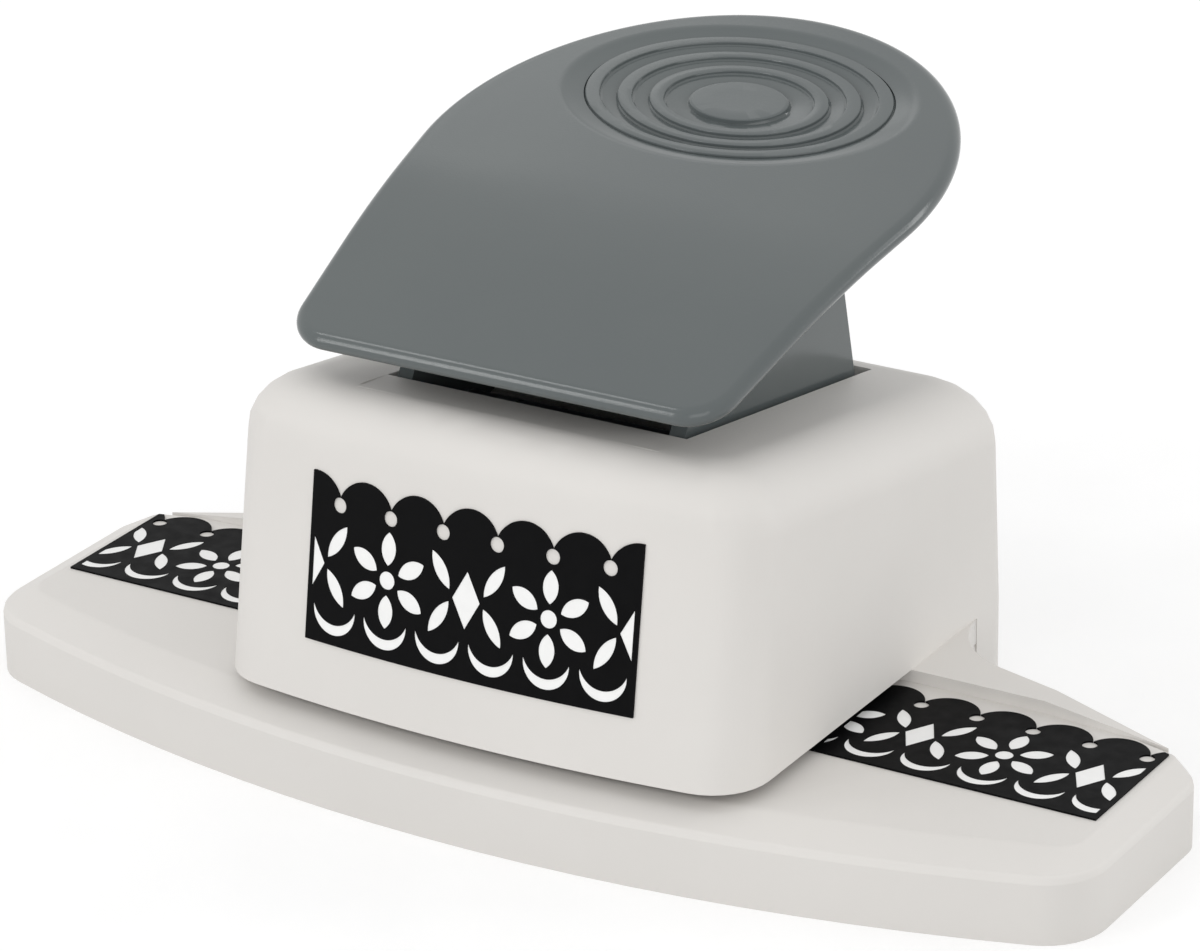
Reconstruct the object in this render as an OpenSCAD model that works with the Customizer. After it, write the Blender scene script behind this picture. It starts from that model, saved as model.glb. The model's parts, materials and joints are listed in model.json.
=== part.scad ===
// Border punch: a paddle lever drives a guided punch set through a patterned die, and the paper slides
// along a deck between the base and the housing. X runs along the deck, Y to the rear, Z up, in mm.

/* [Base] */
// Length of the base from end to end
base_l = 186; // [178:1:196]
// Reach of the bowed front edge ahead of the cut line, at mid length
base_front = 30; // [28:0.5:34]
// Fall-back of the front edge at the two ends
base_bow = 16; // [13:0.5:18]
// Plan radius of the front corners
base_corner = 10; // [7:0.5:12]
// Height of the upright side wall
wall_h = 10.5; // [9.5:0.5:13]
// Rise of the sloped band from the wall to the deck
band_rise = 1.6; // [1:0.1:2.4]
// Plan width of the sloped band along the front
band_front = 7.5; // [5:0.5:9]
// Plan width of the sloped band at the ends
band_end = 4.5; // [3:0.25:4.75]
// Moulded wall of the base
base_t = 2.5; // [2:0.1:2.8]
// Paper stop, behind the cut line
stop_y = 27; // [26.2:0.2:28.6]
// Distance from the middle at which the paper stop starts to fall towards the wing tips
stop_x = 66; // [56:1:72]
// Rear edge of the wings at the ends, behind the cut line
wing_y = 23.5; // [21:0.5:26]
// Sweep of the wings' rear edge, in degrees
wing_sweep = 15.4; // [10:0.2:18]
// Plan radius of the wing tips
wing_r = 6; // [4:0.5:8]
// Radius of the hollow corner between a wing and the housing foot
neck_r = 15; // [10:1:18]
// Thickness of the bottom cover
cover_t = 2; // [1.6:0.1:2.5]

/* [Housing] */
// Width of the housing at its foot
house_w = 88.8; // [86:0.2:93]
// Reach of the housing front ahead of the cut line
house_front = 26; // [24:0.5:28]
// Plan radius of the bowed front
house_bow_r = 290; // [220:5:500]
// Rear of the housing, behind the cut line
house_rear = 62; // [60:0.5:64]
// Plan radius of the front upright corners
house_corner = 9; // [7:0.5:12]
// Plan radius of the rear upright corners
rear_corner = 9.5; // [8:0.5:12]
// Draft of the front, in degrees
front_draft = 8.5; // [6:0.5:11]
// Draft of the sides and the rear, in degrees
side_draft = 1.25; // [1:0.25:2.75]
// Height of the sloping top above the cut line
top_h = 57.2; // [57:0.1:58.5]
// Fall of the top to the rear, in degrees
top_slope = 9; // [8:0.1:10.5]
// Rounding of the top edge
top_r = 9.5; // [8:0.5:11]
// Moulded wall of the housing
house_t = 2.5; // [2:0.1:3]
// Gap for the paper between deck and housing, and step of the paper stop
paper_gap = 2; // [1.4:0.1:2.2]

/* [Lever] */
// Front edge of the lever ahead of the cut line
lever_front = 14.6; // [14:0.1:16]
// Height of the lever's mid plane at the front edge
lever_z0 = 65.2; // [65:0.1:67]
// Tilt of the front half, in degrees
tilt_front = 20.3; // [18:0.1:22]
// Tilt of the rear half, in degrees
tilt_rear = 13; // [11:0.1:16]
// Start of the bend between the halves, behind the cut line
bend_y = 4.5; // [0:0.5:8]
// Length of the bend
bend_l = 21; // [12:1:28]
// Half width of the lever where its front corners end
lever_w0 = 36.2; // [34:0.2:38]
// Plan radius of the front corners
lever_corner = 7; // [5:0.5:10]
// Radius of the round paddle end
paddle_r = 41.4; // [41:0.2:44]
// Centre of the paddle end behind the cut line
paddle_y = 36.6; // [36:0.2:39]
// Thickness of the lever plate
plate_t = 3.2; // [2.6:0.1:4]
// Outer width of the lever arm
arm_w = 48; // [46:0.5:50]
// Wall of the lever arm
arm_t = 2.5; // [2:0.1:3]
// Side clearance of the lever arm in the housing slot
slot_gap = 1; // [0.6:0.1:1.2]
// Rear foot of the lever arm behind the cut line
arm_rear = 48; // [47:0.5:49]
// Press travel of the lever, in degrees
press_deg = 15; // [10:0.5:16]

/* [Dish] */
// Centre of the finger dish behind the cut line
dish_y = 56; // [54:0.5:56.5]
// Half length of the dish across the lever
dish_a = 28.5; // [28:0.5:30]
// Half length of the dish along the lever
dish_b = 19.2; // [18:0.2:19.6]
// Depth of the dish
dish_d = 1.8; // [1:0.1:2.4]
// Half length of the outermost ring across the lever
ring_a = 25.4; // [22:0.2:25.8]
// Half length of the centre button across the lever
button_a = 8.3; // [6:0.1:10]
// Number of rings round the button
rings = 3; // [2:1:4]
// Width of a ring
ring_w = 2.4; // [1.8:0.1:2.8]
// Height of a ring above the dish
ring_h = 0.6; // [0.3:0.1:0.9]

/* [Pivot] */
// Pivot axis ahead of the cut line
pivot_front = 8; // [7:0.25:9]
// Pivot axis above the table
pivot_z = 50.5; // [50:0.1:50.7]
// Diameter of the pivot pin
pivot_d = 6; // [5:0.1:6.4]
// Diameter of the press bar
bar_d = 7; // [6:0.1:7.4]
// Gap between the press bar and the press block at rest
press_gap = 0.3; // [0.25:0.05:0.5]

/* [Die set] */
// Width of the die and guide plates
die_w = 76; // [75:0.5:78]
// Front edge of the plates ahead of the cut line
die_front = 6; // [5:0.5:8]
// Rear edge of the plates behind the cut line
die_rear = 44; // [42:0.5:45]
// Thickness of the die plate
die_t = 4; // [3.5:0.1:4.5]
// Thickness of the guide plate
guide_t = 5; // [4:0.1:5.5]
// Length of one pattern repeat
pitch = 27; // [26:0.1:27.4]
// Depth of the border pattern
border_d = 24.8; // [23.5:0.1:25.5]
// Clearance of a punch in the die, all round
cut_clear = 0.05; // [0.03:0.01:0.08]
// Lift of the punch tips above the paper slot at rest
tip_lift = 0.7; // [0.4:0.1:1]
// Thickness of the punch backing
backing_t = 2; // [1.5:0.1:3]
// Length of the return springs at rest
spring_l = 13.9; // [13:0.1:14.4]
// Wire of the return springs
wire_d = 1; // [0.8:0.05:1.1]
// Turns of a return spring
spring_turns = 5.5; // [4.5:0.5:6]
// Thickness of the punch carrier
carrier_t = 6; // [5:0.1:6.5]
// Height of the press block on the carrier
block_h = 4; // [3.5:0.1:4.4]
// Distance of the guide posts from the middle
post_x = 32.5; // [32.3:0.1:33]
// Diameter of the guide posts
post_d = 6; // [5:0.1:6.2]
// Wall of the post bushes
bush_t = 1.5; // [1:0.1:1.6]

/* [Small parts] */
// Thickness of the printed films
film_t = 0.3; // [0.2:0.05:0.4]
// Half length of the printed deck film from the middle
film_x = 87.6; // [80:0.2:88]
// Width of the front label
label_w = 55; // [50:0.5:58]
// Height of the front label's lower edge above the table
label_z = 23.5; // [21:0.5:25]
// Diameter of the screws
screw_d = 3; // [2.5:0.1:3.2]
// Diameter of the screw heads
head_d = 5.6; // [5:0.1:6]
// Height of the screw heads
head_h = 1.8; // [1.4:0.1:2]
// Thickness of the retaining rings
clip_t = 0.8; // [0.6:0.1:1]
// Running clearance of shafts, on the radius
run = 0.05; // [0.03:0.01:0.08]
// Assembly clearance of parts that stay put
slip = 0.1; // [0.05:0.05:0.2]
// Clearance between parts that pass each other
clear = 0.3; // [0.25:0.05:0.5]

/* [Hidden] */

$fn = 64;
white_c = [0.87, 0.86, 0.84];
grey_c = [0.42, 0.45, 0.46];
black_c = [0.05, 0.05, 0.055];
steel_c = [0.66, 0.67, 0.69];
zinc_c = [0.55, 0.56, 0.58];
brass_c = [0.72, 0.58, 0.32];

// Heights of the deck, the paper slot and the die set
deck_h = wall_h + band_rise;
slot_z = deck_h + paper_gap;
die_z = deck_h - die_t;
seat_z = die_z - 3;
guide_top = slot_z + guide_t;
tip_z = slot_z + tip_lift;
carrier_z = guide_top + spring_l;
carrier_top = carrier_z + carrier_t;
block_top = carrier_top + block_h;
bush_top = carrier_top + 1;

// Lever geometry: press bar over the middle of the pattern, and the stroke it gives the punches
bar_y = border_d / 2;
bar_z = block_top + press_gap + bar_d / 2;
pivot_y = -pivot_front;
arm_reach = bar_y - pivot_y;
stroke = arm_reach * sin(press_deg) - (pivot_z - bar_z) * (1 - cos(press_deg));
echo(stroke = stroke, per_radian = stroke / (press_deg * PI / 180));

// The frame's origin lies under the middle of the overall box
lever_rear = paddle_y + paddle_r;
origin_y = (lever_rear - base_front) / 2;
echo(origin_y = origin_y, cut_line_y = -origin_y, pivot = [0, pivot_y - origin_y, pivot_z]);

half_l = base_l / 2;
half_w = house_w / 2;
bow_r = (half_l * half_l + base_bow * base_bow) / (2 * base_bow);
neck_x = half_w + neck_r;
neck_line_y = wing_y + (half_l - neck_x) * tan(wing_sweep);
neck_y = neck_line_y + neck_r / cos(wing_sweep);
// The housing's skirt starts where the hollow corner runs into the housing's side
neck_run = 1.2;
skirt_y = neck_y - neck_run / 2;
skirt_z = 0.8;

// Scallops of the border: three lobes to a repeat
lobe_pitch = pitch / 3;
lobe_r = 4.8 / 9 * lobe_pitch;
lobe_y = border_d - lobe_r;
set_w = 2 * pitch;

// Screw places, from the pieces that they hold
bottom_screw_at = [for (s = [-1, 1], p = [[half_l - 13, 4], [half_w + 9, -12], [half_w + 9, stop_y - 5]])
    [s * p[0], p[1]]];
die_screw_at = [for (s = [-1, 0, 1]) [s * (die_w / 2 - 10), (stop_y + die_rear) / 2]];
seat_rear = die_rear + 2;
house_screw_y = (seat_rear + house_rear - house_t - clear - base_t - 0.5) / 2;
house_screw_at = [for (s = [-1, 1], x = [12, half_w - 11]) [s * x, house_screw_y]];
punch_screw_at = [for (s = [-1, 1], y = [2.5, border_d - 2.5]) [s * (arm_w / 2 - 6), y]];
lever_screw_at = [for (s = [-1, 1], y = [bend_y - 3, bend_y + bend_l + 4]) [s * (arm_w / 2 - 11), y]];
cup_r = head_d / 2 + 1.6;
cup_h = cover_t + head_h;

// Moves a piece from the cut line to the frame's origin
module at_frame() {
    translate([0, -origin_y, 0]) children();
}

// Extrudes a side view, drawn in Y and Z, across X
module across(x0, x1) {
    translate([x0, 0, 0]) rotate([90, 0, 90]) linear_extrude(x1 - x0) children();
}

module along_x(x0, x1, y, z, r) {
    translate([x0, y, z]) rotate([0, 90, 0]) cylinder(r = r, h = x1 - x0);
}

module box(lo, hi) {
    translate(lo) cube(hi - lo);
}

module both_sides() {
    children();
    mirror([1, 0, 0]) children();
}

// Points of an arc, by angle from the front towards +X; "skip" leaves out both ends
function arc(c, r, a0, a1, n, skip = 0) =
    [for (i = [skip:n - skip]) let (a = a0 + (a1 - a0) * i / n) c + r * [sin(a), -cos(a)]];

// Front of a bowed slab, from its left side to its right side
function bowed_front(w, yf, r, rc) = let (
    cx = w - rc,
    cy = yf + r - sqrt(pow(r - rc, 2) - cx * cx),
    a = asin(cx / (r - rc)))
    concat(arc([-cx, cy], rc, -90, -a, 8), arc([0, yf + r], r, -a, a, 21, 1), arc([cx, cy], rc, a, 90, 8));

// Plan of the base: bowed front, swept wings, hollow corners and the foot inside the housing's skirt
function base_plan(in_front = 0, in_end = 0, in_rear = 0) = let (
    w = half_l - in_end,
    y = wing_y + in_end * tan(wing_sweep) - in_rear / cos(wing_sweep),
    r = max(wing_r - in_end, 1),
    rc = max(base_corner - (in_front + in_end) / 2, 1.5),
    foot = [half_w - house_t - clear - in_rear, house_rear - house_t - clear - in_rear],
    foot_r = rear_corner - house_t / 2 - in_rear,
    foot_a = asin(max((skirt_y - clear - in_rear - foot[1] + foot_r) / foot_r, -0.85)),
    neck_end = asin((neck_run + in_rear) / (neck_r + in_rear)),
    front = bowed_front(w, in_front - base_front, bow_r, rc),
    right = concat(
        [for (i = [len(front) / 2:len(front) - 1]) front[i]],
        arc([w - r, y - r * (1 - sin(wing_sweep)) / cos(wing_sweep)], r, 90, 180 - wing_sweep, 8),
        arc([neck_x, neck_y], neck_r + in_rear, -wing_sweep, neck_end - 90, 10),
        arc(foot - [foot_r, foot_r], foot_r, 90 + foot_a, 180, 8)))
    concat(right, mirrored(right));

function mirrored(points) = [for (i = [len(points) - 1:-1:0]) [-points[i][0], points[i][1]]];

// Solid skin through a stack of rings with equal, even point counts, closed by a strip across each end
module loft(stack) {
    n = len(stack[0]);
    top = (len(stack) - 1) * n;
    sides = [for (k = [0:len(stack) - 2], j = [0:n - 1]) let (
        a = k * n + j,
        b = k * n + (j + 1) % n)
        each [[a, a + n, b + n], [a, b + n, b]]];
    foot = [for (j = [0:n / 2 - 2]) each [[j, j + 1, n - 2 - j], [j, n - 2 - j, n - 1 - j]]];
    lid = [for (t = foot) [top + t[2], top + t[1], top + t[0]]];
    polyhedron([for (ring = stack) each ring], concat(foot, sides, lid));
}

function lifted(plan, z) = [for (p = plan) [p[0], p[1], z]];

function top_z(y) = top_h - y * tan(top_slope);

// Plan of the housing, drawn in by one amount on the front and another on the sides and rear
function house_plan(in_front, in_side, in_rear) = let (
    w = half_w - in_side,
    rc = house_corner - (in_front + in_side) / 5,
    rr = rear_corner - (in_rear + in_side) / 3,
    rear = house_rear - in_rear)
    concat(bowed_front(w, in_front - house_front, house_bow_r, rc),
        arc([w - rr, rear - rr], rr, 90, 180, 8), arc([rr - w, rear - rr], rr, 180, 270, 8));

// Outer form of the housing, grown or drawn in by "g": drafted walls, a sloping top and a rounded edge
module house_form(g = 0, z0 = skirt_z) {
    edge = top_r + g;
    lid = top_h + g / cos(top_slope);
    function ring(turn) = [for (p = house_plan(
        -g + (lid - slot_z) * tan(front_draft) * 0.92 + edge * (1 - cos(turn)),
        -g + (lid - slot_z) * tan(side_draft) * 0.8 + edge * (1 - cos(turn)),
        -g + (lid - slot_z) * tan(side_draft) * 0.6 + edge * (1 - cos(turn))))
        [p[0], p[1], lid - p[1] * tan(top_slope) - edge * (1 - sin(turn))]];
    foot = house_plan(-g, -g, -g);
    loft(concat([lifted(foot, z0), lifted(foot, slot_z)], [for (turn = [0:15:90]) ring(turn)]));
}

// One closed lens between two arcs, lying along Y
module lens(l, w) {
    r = (l * l + w * w) / (4 * w);
    intersection() {
        translate([r - w / 2, 0]) circle(r);
        translate([w / 2 - r, 0]) circle(r);
    }
}

// Cut-outs of one repeat of the border, grown by "g": flower, lozenge, leaves, swags and eyelets
module repeat_cuts(g = 0) {
    flower_y = border_d * 0.47;
    translate([0, flower_y]) {
        circle(1.3 + g);
        for (k = [0:5]) rotate(k * 60) translate([0, 4.6]) lens(4.9 + 2 * g, 2.5 + 2 * g);
    }
    for (s = [-1, 1]) {
        translate([s * pitch * 0.335, flower_y]) {
            translate([0, 3.6]) rotate(s * 32) lens(6 + 2 * g, 2 + 2 * g);
            translate([0, -3.2]) rotate(-s * 32) lens(6 + 2 * g, 2 + 2 * g);
        }
        translate([s * pitch / 2, flower_y])
            polygon([[0, -4.2 - 2 * g], [2.3 + g, 0], [0, 4.2 + 2 * g], [-2.3 - g, 0]]);
    }
    for (k = [-1:1]) translate([k * lobe_pitch, 0]) {
        translate([0, lobe_y + 0.6]) circle(1.15 + g);
        translate([0, 5.2]) difference() {
            circle(3.7 + g);
            translate([0, 1.7]) circle(3.9 - g);
        }
    }
}

// Scalloped outline of the border between two places along X
module border_band(x0, x1) {
    intersection() {
        union() {
            translate([x0, 0]) square([x1 - x0, lobe_y]);
            for (k = [floor(x0 / lobe_pitch) - 1:ceil(x1 / lobe_pitch) + 1])
                translate([k * lobe_pitch, lobe_y]) circle(lobe_r);
        }
        translate([x0, 0]) square([x1 - x0, border_d + 1]);
    }
}

// Everything that the punch set cuts: the repeats' cut-outs and the waste beyond the scallops
module border_cut(g = 0) {
    for (k = [-0.5, 0.5]) translate([k * pitch, 0]) intersection() {
        repeat_cuts(g);
        translate([-pitch / 2, -1]) square([pitch, border_d]);
    }
    difference() {
        translate([-set_w / 2 - g, lobe_y]) square([set_w + 2 * g, stop_y - lobe_y - 0.4 + g]);
        for (k = [-4:4]) translate([k * lobe_pitch, lobe_y]) circle(lobe_r - g);
    }
}

// Printed film: the scalloped band with its cut-outs open
module border_film(x0, x1) {
    difference() {
        border_band(x0, x1);
        intersection() {
            for (k = [floor(x0 / pitch) - 1:ceil(x1 / pitch) + 1])
                translate([(k + 0.5) * pitch, 0]) repeat_cuts();
            translate([x0 + 0.8, 0.6]) square([x1 - x0 - 1.6, border_d + 1]);
        }
    }
}

// Screw with a round head below and its shank up, from the head's seat
module screw(l, d = screw_d, head = head_d) {
    cylinder(d = d, h = l);
    translate([0, 0, -head_h]) cylinder(d = head, h = head_h);
}

// Retaining ring with its open mouth, for a groove of radius r
module clip(r, rim) {
    difference() {
        cylinder(r = r + rim, h = clip_t);
        translate([0, 0, -1]) cylinder(r = r + run, h = clip_t + 2);
        translate([-r * 0.8, 0, -1]) cube([r * 1.6, r + rim + 1, clip_t + 2]);
    }
}

module base_shell() at_frame() color(white_c) difference() {
    union() {
        difference() {
            union() {
                base_skin();
                paper_stop();
            }
            base_hollow();
        }
        box([-die_w / 2 - 3, -die_front - 3, seat_z], [die_w / 2 + 3, seat_rear, deck_h - 1]);
        for (p = bottom_screw_at) translate([p[0], p[1], cup_h]) cylinder(d = screw_d + 4, h = deck_h - 1 - cup_h);
        for (p = die_screw_at) translate([p[0], p[1], cover_t + 1]) cylinder(d = screw_d + 5, h = seat_z);
    }
    // Pocket of the die set, and the chip window below the cutting edges
    box([-die_w / 2 - slip, -die_front - slip, die_z], [die_w / 2 + slip, die_rear + slip, slot_z + 1]);
    box([-set_w / 2 - 2, -1.5, -1], [set_w / 2 + 2, stop_y + 0.5, deck_h]);
    for (p = bottom_screw_at) translate([p[0], p[1], -1]) cylinder(d = screw_d, h = deck_h - base_t);
    for (p = die_screw_at) translate([p[0], p[1], -1]) cylinder(d = screw_d, h = deck_h + 1);
    for (p = house_screw_at) translate([p[0], p[1], -1]) {
        cylinder(d = screw_d + 2 * slip, h = slot_z + 2);
        cylinder(d = head_d + 2 * slip, h = deck_h - base_t + 1);
    }
}

// Outside of the base: upright wall, sloped band and flat deck
module base_skin() loft([
    lifted(base_plan(), 0),
    lifted(base_plan(), wall_h - 1.3),
    lifted(base_plan(0.25, 0.2, 0.15), wall_h - 0.5),
    lifted(base_plan(0.9, 0.7, 0.4), wall_h),
    lifted(base_plan(band_front - 1, band_end - 0.5, 0.7), deck_h - 0.2),
    lifted(base_plan(band_front, band_end, 1), deck_h)]);

// Shelf behind the deck, whose front edge stops the paper; it falls away to the wing tips
module paper_stop() intersection() {
    translate([0, 0, wall_h - 0.3]) linear_extrude(slot_z - wall_h + 0.3) intersection() {
        polygon(base_plan(0, band_end, -slip));
        polygon([[-film_x, border_d + 0.5], [-stop_x, stop_y], [stop_x, stop_y], [film_x, border_d + 0.5],
            [film_x, house_rear], [-film_x, house_rear]]);
    }
    rotate([90, 0, 0]) linear_extrude(4 * house_rear, center = true)
        polygon([[-film_x, 0], [film_x, 0], [film_x, deck_h - 0.1], [stop_x, slot_z], [-stop_x, slot_z],
            [-film_x, deck_h - 0.1]]);
}

// Space inside the base: under the sloped band and under the deck
module base_hollow() {
    translate([0, 0, -1]) linear_extrude(1 + wall_h + base_t * band_rise / band_front - base_t)
        polygon(base_plan(base_t, base_t, base_t));
    translate([0, 0, -1]) linear_extrude(1 + deck_h - base_t)
        polygon(base_plan(band_front + 0.5, band_end + base_t, base_t + 0.5));
}

module bottom_cover() at_frame() color(white_c) difference() {
    union() {
        linear_extrude(cover_t) polygon(base_plan(base_t + slip, base_t + slip, base_t + slip));
        for (p = bottom_screw_at) translate([p[0], p[1], 0]) cylinder(r = cup_r, h = cup_h);
    }
    box([-set_w / 2 - 2, -1.5, -1], [set_w / 2 + 2, stop_y + 0.5, cover_t + 1]);
    for (p = bottom_screw_at) translate([p[0], p[1], -1]) {
        cylinder(d = screw_d + 2 * slip, h = cup_h + 2);
        cylinder(d = head_d + 2 * slip, h = 1 + head_h + 0.4);
    }
}

module bottom_screws() at_frame() color(steel_c) for (p = bottom_screw_at)
    translate([p[0], p[1], head_h + 0.4]) screw(deck_h - base_t - head_h - 1.6);

module deck_film(side) at_frame() color(black_c) translate([0, 0, deck_h]) linear_extrude(film_t)
    intersection() {
        mirror([side, 0]) border_film(half_w - 2, film_x);
        polygon(base_plan(band_front + 0.3, band_end + 0.3, 1.6));
        translate([-half_l, -1]) square([base_l, stop_y + 0.8]);
    }

module deck_film_left() deck_film(1);

module deck_film_right() deck_film(0);

module plate_plan(front = die_front) {
    translate([-die_w / 2, -front]) square([die_w, die_rear + front]);
}

module screw_holes(d) {
    for (p = die_screw_at) translate(p) circle(d = d);
}

module die_plate() at_frame() color(zinc_c) translate([0, 0, die_z]) linear_extrude(die_t) difference() {
    plate_plan();
    border_cut();
    screw_holes(screw_d + 2 * slip);
}

module die_spacer() at_frame() color(steel_c) translate([0, 0, deck_h]) linear_extrude(paper_gap) difference() {
    plate_plan(-stop_y);
    screw_holes(screw_d + 2 * slip);
}

module guide_plate() at_frame() color(zinc_c) translate([0, 0, slot_z]) linear_extrude(guide_t) difference() {
    plate_plan();
    border_cut();
    screw_holes(screw_d + 2 * slip);
    for (s = [-1, 1]) translate([s * post_x, bar_y]) circle(d = post_d);
}

module die_screws() at_frame() color(steel_c) for (p = die_screw_at)
    translate([p[0], p[1], guide_top]) rotate([180, 0, 0]) screw(guide_top - cover_t - 1.5);

module guide_posts() at_frame() color(steel_c) for (s = [-1, 1]) translate([s * post_x, bar_y, 0]) difference() {
    translate([0, 0, slot_z + 0.5]) cylinder(d = post_d, h = bush_top + clear + clip_t + 1.6 - slot_z - 0.5);
    translate([0, 0, bush_top + clear]) difference() {
        cylinder(d = post_d + 2, h = clip_t);
        cylinder(d = post_d - 1.4, h = clip_t);
    }
}

module post_clips() at_frame() color(zinc_c) for (s = [-1, 1])
    translate([s * post_x, bar_y, bush_top + clear]) clip(post_d / 2 - 0.7, 2.6);

module post_bushes() at_frame() color(brass_c) for (s = [-1, 1]) translate([s * post_x, bar_y, carrier_z])
    difference() {
        cylinder(d = post_d + 2 * run + 2 * bush_t, h = bush_top - carrier_z);
        translate([0, 0, -1]) cylinder(d = post_d + 2 * run, h = bush_top - carrier_z + 2);
    }

// Coil of one return spring, a tube of six sides along a helix
spring_r = post_d / 2 + wire_d / 2 + 0.7;
spring_rise = spring_l - wire_d - 0.1;
spring_steps = round(spring_turns * 8);
function coil_at(i) = let (a = 360 * spring_turns * i / spring_steps)
    [spring_r * cos(a), spring_r * sin(a), spring_rise * i / spring_steps];
function coil_ring(i) = let (a = 360 * spring_turns * i / spring_steps)
    [for (k = [0:5]) coil_at(i) + wire_d / 2 * (cos(60 * k) * [cos(a), sin(a), 0] + sin(60 * k) * [0, 0, 1])];
coil_gap = min([for (i = [0:spring_steps], j = [0:spring_steps])
    if (j - i >= 4) norm(coil_at(i) - coil_at(j))]) - wire_d;
echo(spring_least_gap = coil_gap);

module return_springs() at_frame() color(steel_c) for (s = [-1, 1])
    translate([s * post_x, bar_y, guide_top + wire_d / 2 + 0.05])
        mirror([0, 1, 0]) loft([for (i = [0:spring_steps]) coil_ring(i)]);

module punch_set() at_frame() color(steel_c) {
    translate([0, 0, tip_z]) linear_extrude(carrier_z - backing_t - tip_z) border_cut(-cut_clear);
    translate([0, 0, carrier_z - backing_t]) linear_extrude(backing_t) difference() {
        translate([-set_w / 2 - 0.3, 0.4]) square([set_w + 0.6, stop_y]);
        for (p = punch_screw_at) translate(p) circle(d = screw_d);
    }
}

module punch_carrier() at_frame() color(zinc_c) translate([0, 0, carrier_z]) difference() {
    linear_extrude(carrier_t) difference() {
        hull() for (s = [-1, 1], y = [0, border_d + 2]) translate([s * (die_w / 2 - 3), y]) circle(3);
        for (p = punch_screw_at) translate(p) circle(d = screw_d + 2 * slip);
        for (s = [-1, 1]) translate([s * post_x, bar_y]) circle(d = post_d + 2 * run + 2 * bush_t);
    }
    box([-14 - slip, bar_y - 8 - slip, carrier_t - 0.5], [14 + slip, bar_y + 8 + slip, carrier_t + 1]);
}

module punch_screws() at_frame() color(steel_c) for (p = punch_screw_at)
    translate([p[0], p[1], carrier_top]) rotate([180, 0, 0]) screw(carrier_t + backing_t);

module press_block() at_frame() color(steel_c)
    box([-14, bar_y - 8, carrier_top - 0.5], [14, bar_y + 8, block_top]);

lug_r = pivot_d / 2 + 3.5;
lug_x = arm_w / 2 + 2;

module housing() at_frame() color(white_c) difference() {
    union() {
        difference() {
            house_form();
            house_form(-house_t, skirt_z - 1);
        }
        both_sides() across(lug_x, lug_x + 4) {
            translate([pivot_y, pivot_z]) circle(lug_r);
            translate([pivot_y - lug_r, pivot_z]) square([2 * lug_r, top_z(pivot_y + lug_r) - pivot_z - 1]);
        }
        for (p = house_screw_at) translate([p[0], p[1], slot_z]) cylinder(d = screw_d + 4, h = 12);
        for (p = house_screw_at) box([p[0] - 0.8, p[1], slot_z],
            [p[0] + 0.8, house_rear - house_t / 2, slot_z + 12]);
    }
    // Room for the deck and the wings, lever slot, pivot bores and screw holes
    box([-half_l, -2 * house_front, 0], [half_l, skirt_y, slot_z]);
    box([-arm_w / 2 - slot_gap, -lever_front + 3.2, slot_z + 20], [arm_w / 2 + slot_gap, arm_rear + 2.5, 90]);
    both_sides() along_x(lug_x - 1, lug_x + 5, pivot_y, pivot_z, pivot_d / 2);
    for (p = house_screw_at) translate([p[0], p[1], slot_z - 1]) cylinder(d = screw_d, h = 11);
}

module housing_screws() at_frame() color(steel_c) for (p = house_screw_at)
    translate([p[0], p[1], deck_h - base_t]) screw(base_t + paper_gap + 9);

// Label film that follows the bowed and drafted front
module front_label() at_frame() color(black_c) intersection() {
    difference() {
        house_form(film_t);
        house_form();
    }
    translate([0, 0, label_z]) rotate([90, 0, 0]) linear_extrude(house_front + 5)
        border_film(-label_w / 2, label_w / 2);
}

clip_x = lug_x + 4 + clear;

module pivot_pin() at_frame() color(steel_c) difference() {
    along_x(-clip_x - clip_t - 1.4, clip_x + clip_t + 1.4, pivot_y, pivot_z, pivot_d / 2);
    both_sides() difference() {
        along_x(clip_x, clip_x + clip_t, pivot_y, pivot_z, pivot_d / 2 + 1);
        along_x(clip_x, clip_x + clip_t, pivot_y, pivot_z, pivot_d / 2 - 0.7);
    }
}

module pivot_clips() at_frame() color(zinc_c) both_sides() translate([clip_x, pivot_y, pivot_z])
    rotate([0, 90, 0]) clip(pivot_d / 2 - 0.7, 2.6);

// Side view of the lever plate's mid plane: two tilts with a soft bend between them
function slope_at(y) = let (s1 = tan(tilt_front), s2 = tan(tilt_rear), t = (y - bend_y) / bend_l)
    s1 + (s2 - s1) * min(max(t, 0), 1);
function lever_z(y) = let (
    s1 = tan(tilt_front),
    s2 = tan(tilt_rear),
    t = min(max(y - bend_y, 0), bend_l))
    lever_z0 + s1 * (min(y, bend_y) + lever_front) + s1 * t + (s2 - s1) * t * t / (2 * bend_l)
    + s2 * max(y - bend_y - bend_l, 0);
function below(y, d) = let (a = atan(slope_at(y))) [y + d * sin(a), lever_z(y) - d * cos(a)];

// Outline of the plate, drawn out by "g": straight front, round corners, spreading sides, round end
rim = plate_t / 2;
front_c = [lever_w0 - lever_corner, lever_corner - lever_front];
spread = [front_c[0], paddle_y - front_c[1]];
side_turn = atan2(spread[1], spread[0]) - acos((paddle_r - lever_corner) / norm(spread));
function lever_outline(g) = let (
    corner = arc(front_c, lever_corner + g, 0, 90 - side_turn, 6),
    end = arc([0, paddle_y], paddle_r + g, 90 - side_turn, 180, 16),
    side = [for (t = [1:5]) corner[6] + (end[0] - corner[6]) * t / 6],
    right = concat([[front_c[0] / 2, -lever_front - g]], corner, side, [for (i = [0:15]) end[i]]))
    concat([[0, -lever_front - g]], right, [end[16]], mirrored(right));

// A plan point [x, y] lifted off the plate's mid plane by d, square to it
function off_plate(p, d) = let (a = atan(slope_at(p[1])))
    [p[0], p[1] - d * sin(a), lever_z(p[1]) + d * cos(a)];

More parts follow.
